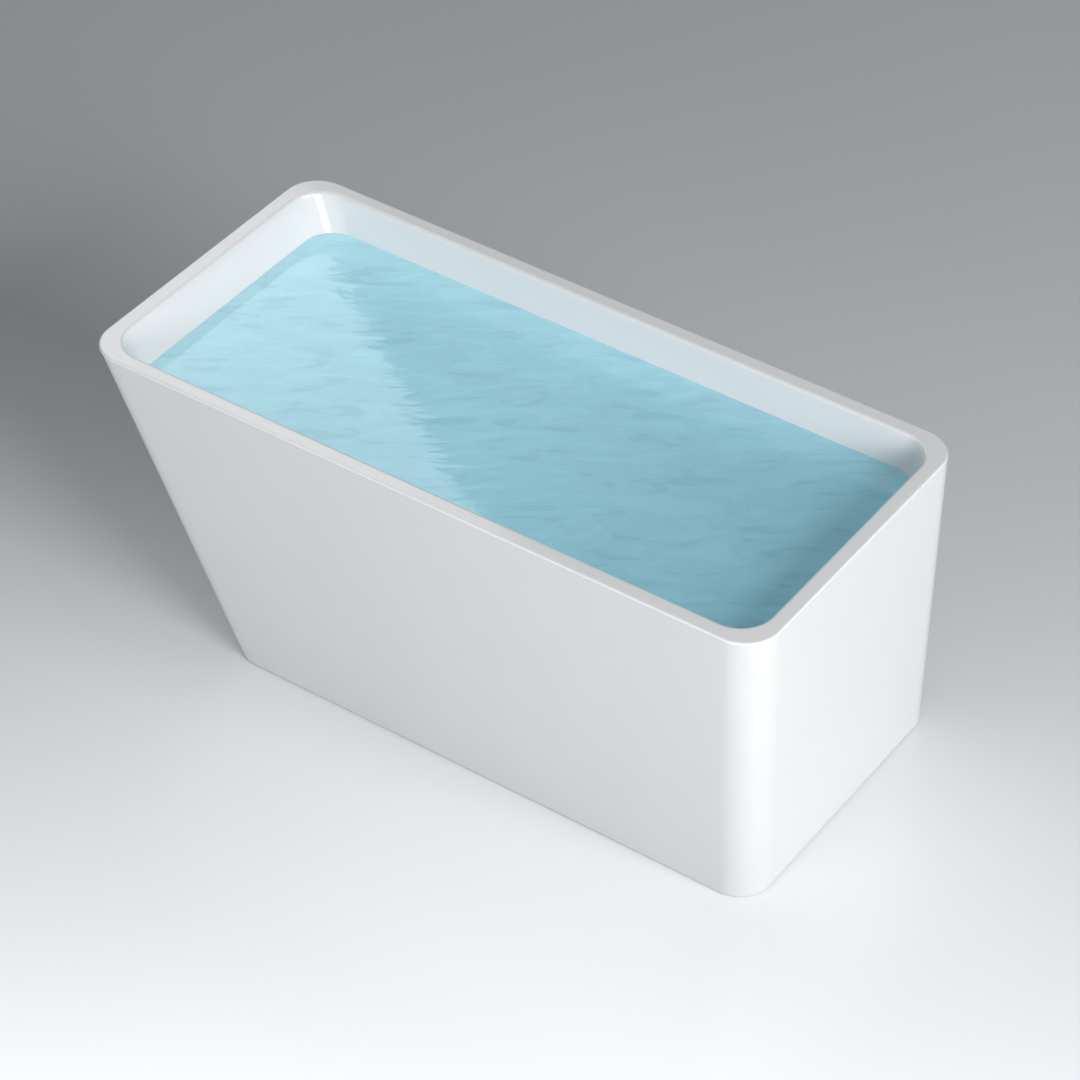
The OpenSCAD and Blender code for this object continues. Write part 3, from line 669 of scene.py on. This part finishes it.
@once
def timber():
    """Unpainted board: long grain with darker growth lines, rough along the grain."""
    n = Nodes("unpainted board")
    grain = n.noise(22, detail=8, rough=0.65, stretch=(0.15, 1, 1.4))
    bands = {"wave_type": "BANDS", "bands_direction": "Y"}
    lines = n.add("ShaderNodeTexWave", bands, Scale=9, Distortion=9, Detail=3)
    n.link(n.mapped((0.12, 1, 1)), "Vector", lines, "Vector")
    both = n.mixed(0.18, grain, "Fac", lines, "Fac")
    n.paint(
        both,
        "Result",
        (0.3, (0.33, 0.21, 0.11)),
        (0.5, (0.55, 0.38, 0.22)),
        (0.7, (0.68, 0.51, 0.33)),
    )
    n.spread(grain, "Fac", 0.55, 0.8, "Roughness")
    n.bump(grain, "Fac", 0.3, 0.4 * MM)
    return n.material


@once
def frame_steel():
    """Grey powder-coated steel with orange peel and a little dust."""
    n = Nodes("powder-coated steel")
    dust = n.noise(11, detail=6, rough=0.7)
    n.paint(dust, "Fac", (0.35, (0.055, 0.058, 0.064)), (0.75, (0.105, 0.108, 0.112)))
    n.spread(dust, "Fac", 0.36, 0.58, "Roughness", 0.3, 0.7)
    peel = n.noise(420, detail=2)
    n.bump(peel, "Fac", 0.35, 0.15 * MM)
    return n.material


@once
def zinc_steel():
    """Bright zinc plating: cloudy grey patches, fine drawing lines."""
    n = Nodes("zinc-plated steel")
    n.set(Metallic=1.0)
    cells = n.add("ShaderNodeTexVoronoi", {"feature": "F1"}, Scale=130.0)
    n.link(n.mapped(), "Vector", cells, "Vector")
    cloud = n.noise(40, detail=5)
    both = n.mixed(0.6, cells, "Distance", cloud, "Fac")
    n.paint(both, "Result", (0.2, (0.42, 0.43, 0.45)), (0.7, (0.66, 0.67, 0.68)))
    n.spread(both, "Result", 0.26, 0.46, "Roughness", 0.2, 0.7)
    lines = n.noise(300, detail=3, stretch=(1, 1, 0.08))
    n.bump(lines, "Fac", 0.15, 0.1 * MM)
    return n.material


@once
def chrome():
    """Polished chrome with faint wiping marks."""
    n = Nodes("polished chrome")
    n.set(Metallic=1.0, Specular_IOR_Level=0.5)
    smear = n.noise(45, detail=6, rough=0.65, stretch=(1, 3, 1))
    n.paint(smear, "Fac", (0.3, (0.74, 0.75, 0.77)), (0.7, (0.80, 0.81, 0.82)))
    n.spread(smear, "Fac", 0.04, 0.13, "Roughness", 0.3, 0.75)
    n.bump(n.noise(500, detail=2), "Fac", 0.04, 0.05 * MM)
    return n.material


@once
def rubber():
    """Black sealing rubber with a bloom and a fine grain."""
    n = Nodes("black sealing rubber")
    bloom = n.noise(60, detail=5)
    n.paint(bloom, "Fac", (0.35, (0.012, 0.012, 0.013)), (0.8, (0.035, 0.035, 0.036)))
    n.spread(bloom, "Fac", 0.5, 0.72, "Roughness")
    n.bump(n.noise(700, detail=2), "Fac", 0.3, 0.08 * MM)
    return n.material


@once
def black_plastic():
    """Black moulded nylon: spark-eroded texture, scuffed paler in places."""
    n = Nodes("black moulded nylon")
    scuff = n.noise(55, detail=7, rough=0.7)
    n.paint(scuff, "Fac", (0.4, (0.016, 0.016, 0.018)), (0.78, (0.050, 0.050, 0.052)))
    n.spread(scuff, "Fac", 0.42, 0.62, "Roughness")
    n.bump(n.noise(520, detail=3), "Fac", 0.35, 0.12 * MM)
    return n.material


@once
def white_plastic():
    """White moulded plastic with flow marks and a fine grain."""
    n = Nodes("white moulded plastic")
    flow = n.noise(16, detail=5, rough=0.6, stretch=(1, 1, 0.4))
    n.paint(flow, "Fac", (0.35, (0.66, 0.66, 0.64)), (0.7, (0.76, 0.76, 0.75)))
    n.spread(flow, "Fac", 0.3, 0.46, "Roughness", 0.3, 0.7)
    n.bump(n.noise(360, detail=2), "Fac", 0.15, 0.08 * MM)
    return n.material


@once
def adhesive():
    """Cured white adhesive, slightly yellowed and uneven."""
    n = Nodes("cured adhesive")
    tone = n.noise(30, detail=4)
    n.paint(tone, "Fac", (0.3, (0.62, 0.60, 0.54)), (0.7, (0.74, 0.73, 0.69)))
    n.spread(tone, "Fac", 0.45, 0.65, "Roughness")
    n.bump(n.noise(90, detail=3), "Fac", 0.4, 0.4 * MM)
    return n.material


FINISHES = {
    "acrylic": acrylic,
    "glass_fibre": glass_fibre,
    "timber": timber,
    "frame_steel": frame_steel,
    "zinc_steel": zinc_steel,
    "chrome": chrome,
    "rubber": rubber,
    "black_plastic": black_plastic,
    "white_plastic": white_plastic,
    "adhesive": adhesive,
}


def finish_piece(obj, slot, material, *nodes, body=BODY):
    """Gives a new piece its material and body, and lets it stand for CAD nodes."""
    obj.data.materials.clear()
    obj.data.materials.append(material)
    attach(obj, body)
    if nodes:
        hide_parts(*nodes)


def finish_cad_nodes():
    """Every carried-over CAD node gets the finish of its slot."""
    for part in frame["record"]["subparts"]:
        obj = NODES[part["node"]]
        material = FINISHES[part["material_slot"]]()
        if not obj.material_slots:
            obj.data.materials.append(material)
        for slot in obj.material_slots:
            slot.material = material


# ---- Water, floor, light and camera: the setting, not the tub ----

RIPPLE_TURN = math.radians(35)
RIPPLE_STRETCH = (1, 0.3, 1)
# A Mix node's colour sockets share their names with its number sockets, so these go by place
MIX_COLOUR_A = 6
MIX_COLOUR_B = 7
MIX_COLOUR_OUT = 2


def water_painted_shade_tone(n):
    """Cyan ramp along the bath, darker towards the drain end: painted shade of the drain-end wall.
    """
    place = n.add("ShaderNodeSeparateXYZ")
    n.link(n.coords, "Object", place, "Vector")
    along = n.add("ShaderNodeMapRange", From_Min=-LENGTH / 2, From_Max=LENGTH / 2)
    n.link(place, "X", along, "Value")
    # Painted shade: the colour drops towards the drain end, where the drain-end wall shades the
    # water
    head, middle, drain = (0.42, 0.70, 0.775), (0.38, 0.66, 0.755), (0.25, 0.49, 0.57)
    return n.ramp(along, "Result", (0.0, head), (0.5, middle), (1.0, drain))


def water_ripples(n):
    """Noise in long streaks that slant across the bath."""
    ripple = n.add("ShaderNodeTexNoise", Scale=9.0, Detail=2.0, Roughness=0.45, Distortion=0.9)
    turned = n.add(
        "ShaderNodeMapping",
        {"vector_type": "TEXTURE"},
        Rotation=(0, 0, RIPPLE_TURN),
        Scale=RIPPLE_STRETCH,
    )
    n.link(n.coords, "Object", turned, "Vector")
    n.link(turned, "Vector", ripple, "Vector")
    return ripple


def water_material():
    """Bath water: cyan, with painted shade that darkens it towards the drain end, flat ripples with
    painted reflections in their colour, and a faint painted glow. It throws no shadow.
    """
    n = Nodes("bath water")
    # Painted light: a faint emission makes the water glow, though it is no lamp
    n.set(Transmission_Weight=0.22, IOR=1.33, Roughness=0.03, Emission_Strength=0.28)
    # Painted shade: this colour darkens the water towards the drain end
    depth = water_painted_shade_tone(n)
    ripple = water_ripples(n)
    # Painted reflection: lighter and darker ripple patches are coloured into the water; the same
    # noise also bumps the surface
    tone = n.ramp(
        ripple,
        "Fac",
        (0.34, (0.86, 0.87, 0.88)),
        (0.44, (0.97, 0.97, 0.97)),
        (0.5, (0.93, 0.94, 0.94)),
        (0.6, (1, 1, 1)),
    )
    tint = n.add("ShaderNodeMix", {"data_type": "RGBA", "blend_type": "MULTIPLY"}, Factor=1.0)
    n.link(depth, "Color", tint, MIX_COLOUR_A)
    n.link(tone, "Color", tint, MIX_COLOUR_B)
    n.link(tint, MIX_COLOUR_OUT, n.shader, "Base Color")
    # The water's colour also feeds its painted glow
    n.link(tint, MIX_COLOUR_OUT, n.shader, "Emission Color")
    n.bump(ripple, "Fac", 0.06, 6 * MM)
    n.clear_where(n.add("ShaderNodeLightPath"), "Is Shadow Ray")
    murk = n.add("ShaderNodeVolumeAbsorption", Density=1.0, Color=(0.2, 0.78, 0.85, 1))
    n.link(murk, "Volume", n.output, "Volume")
    return n.material


def build_water():
    """The bath's filling, up to its measured level, its edges just inside the acrylic."""
    level = HEIGHT - WATER_DEPTH_BELOW_RIM
    into_wall = 0.4 * MM
    walls = [BasinWall(s, into_wall, HEIGHT) for s in STATIONS]
    rings = [[w.at_height(level) for w in walls]]
    for share in arc_shares(8):
        rings.append([w.cove_point(share) for w in walls])
    water = loft("bath_water", rings, capped=True, weld=1e-5)
    water.data.materials.append(water_material())


CAMERA_AZIMUTH = math.radians(34.596)
CAMERA_ELEVATION = math.radians(40.447)
CAMERA_ROLL = math.radians(0.36)
CAMERA_DISTANCE = 7.432
CAMERA_LENS_MM = 130.0
CAMERA_SENSOR_MM = 36.0
# The point the camera looks at, from the middle of the tub's box
CAMERA_AIM = Vector((0.0463, 0.0125, -0.0188))


def direction(azimuth, elevation):
    """Unit vector from the tub towards an azimuth from the front (-Y) and an elevation."""
    flat = math.cos(elevation)
    return Vector((math.sin(azimuth) * flat, -math.cos(azimuth) * flat, math.sin(elevation)))


def build_camera():
    """The photograph's camera, from the perspective fit."""
    data = bpy.data.cameras.new("camera")
    data.sensor_width = CAMERA_SENSOR_MM
    data.lens = CAMERA_LENS_MM
    data.clip_end = 100
    camera = bpy.data.objects.new("camera", data)
    bpy.context.scene.collection.objects.link(camera)
    back = direction(CAMERA_AZIMUTH, CAMERA_ELEVATION)
    right = (-back).cross(Vector((0, 0, 1))).normalized()
    up = right.cross(-back)
    across = right * math.cos(CAMERA_ROLL) + up * math.sin(CAMERA_ROLL)
    upward = up * math.cos(CAMERA_ROLL) - right * math.sin(CAMERA_ROLL)
    place = (CAD_BOX[0] + CAD_BOX[1]) / 2 + CAMERA_AIM + back * CAMERA_DISTANCE
    turn = Matrix((across, upward, back)).transposed().to_4x4()
    camera.matrix_world = Matrix.Translation(place) @ turn
    bpy.context.scene.camera = camera


def floor_material():
    """Plain pale floor with a soft sheen, seen only from above."""
    n = Nodes("studio floor")
    tone = n.noise(0.8, detail=2)
    n.paint(tone, "Fac", (0.3, (0.845, 0.86, 0.875)), (0.7, (0.865, 0.88, 0.895)))
    n.set(Roughness=0.22, Specular_IOR_Level=0.5)
    n.clear_where(n.add("ShaderNodeNewGeometry"), "Backfacing")
    return n.material


def build_floor():
    """The studio's floor, at height 0."""
    half = 12.0
    verts = [(-half, -half, 0), (half, -half, 0), (half, half, 0), (-half, half, 0)]
    floor = mesh_object("studio_floor", verts, [(0, 1, 2, 3)])
    if floor.data.polygons[0].normal.z < 0:
        floor.data.flip_normals()
    floor.data.materials.append(floor_material())
    return floor


def softbox(name, azimuth, elevation, distance, size, watts, aim=None, roll=0.0, spread=180.0):
    """Area light at an azimuth and elevation in degrees from the tub, aimed at it or at a point."""
    way = direction(math.radians(azimuth), math.radians(elevation))
    middle = Vector((0, 0, HEIGHT / 2))
    data = bpy.data.lights.new(name, "AREA")
    data.shape = "RECTANGLE"
    data.size, data.size_y = size
    data.energy = watts
    data.spread = math.radians(spread)
    light = bpy.data.objects.new(name, data)
    light.location = middle + way * distance
    back = light.location - (middle if aim is None else aim)
    about_beam = Quaternion((0, 0, 1), math.radians(roll))
    light.rotation_mode = "QUATERNION"
    light.rotation_quaternion = back.to_track_quat("Z", "Y") @ about_beam
    light.visible_camera = False
    bpy.context.scene.collection.objects.link(light)
    return light


def limit_light(state, obj, *lights):
    """The lights reach all but this object (EXCLUDE) or only this object (INCLUDE)."""
    reach = bpy.data.collections.new("light reach " + obj.name)
    reach.objects.link(obj)
    reach.collection_objects[0].light_linking.link_state = state
    for light in lights:
        light.light_linking.receiver_collection = reach


def build_world():
    """Weak, even and slightly blue light from all round."""
    world = bpy.data.worlds.new("studio")
    bpy.context.scene.world = world
    world.use_nodes = True
    background = world.node_tree.nodes["Background"]
    background.inputs["Color"].default_value = (0.81, 0.84, 0.89, 1)
    background.inputs["Strength"].default_value = 0.20


def build_light(floor, basin, skirt):
    """Two keys, two fills, lamps over and under the floor and a panel that the water mirrors."""
    build_world()
    front = softbox("front key", -30, 22, distance=5.0, size=(3.0, 1.6), watts=39)
    softbox("drain end key", 77, 30, distance=8.0, size=(4.8, 3.0), watts=392)
    fill = softbox("basin fill", 40, 15, distance=5.0, size=(2.0, 1.2), watts=64)
    in_water = Vector((-0.43, 0, 0.56))
    panel_place = {"azimuth": -126.2, "elevation": 41.2, "distance": 3.94, "size": (1.3, 1.8)}
    panel = softbox("mirrored panel", **panel_place, watts=20, aim=in_water, roll=21.4)
    before_tub = Vector((0.92, -2.75, 0))
    lamp_place = {"azimuth": 18, "elevation": 41, "distance": 3.2, "size": (6.0, 1.0)}
    lamp = softbox("floor lamp", **lamp_place, watts=93, aim=before_tub, spread=140)
    back_fill = softbox("back fill", 215, 20, distance=5.0, size=(3.0, 2.0), watts=60)
    under = softbox("underside lamp", 0, -90, distance=1.6, size=(0.9, 0.4), watts=14)
    limit_light("EXCLUDE", floor, front, panel)
    limit_light("INCLUDE", skirt, back_fill)
    limit_light("EXCLUDE", skirt, under)
    # The underside lamp shines through the floor: the floor blocks none of its light
    under.light_linking.blocker_collection = front.light_linking.receiver_collection
    limit_light("INCLUDE", basin, fill)
    limit_light("INCLUDE", floor, lamp)
    bpy.context.scene.view_settings.view_transform = "Standard"


finish_cad_nodes()
build_camera()
skirt_piece = build_skirt()
basin_piece = build_basin()
build_spring()
build_studs()
build_water()
build_light(build_floor(), basin_piece, skirt_piece)
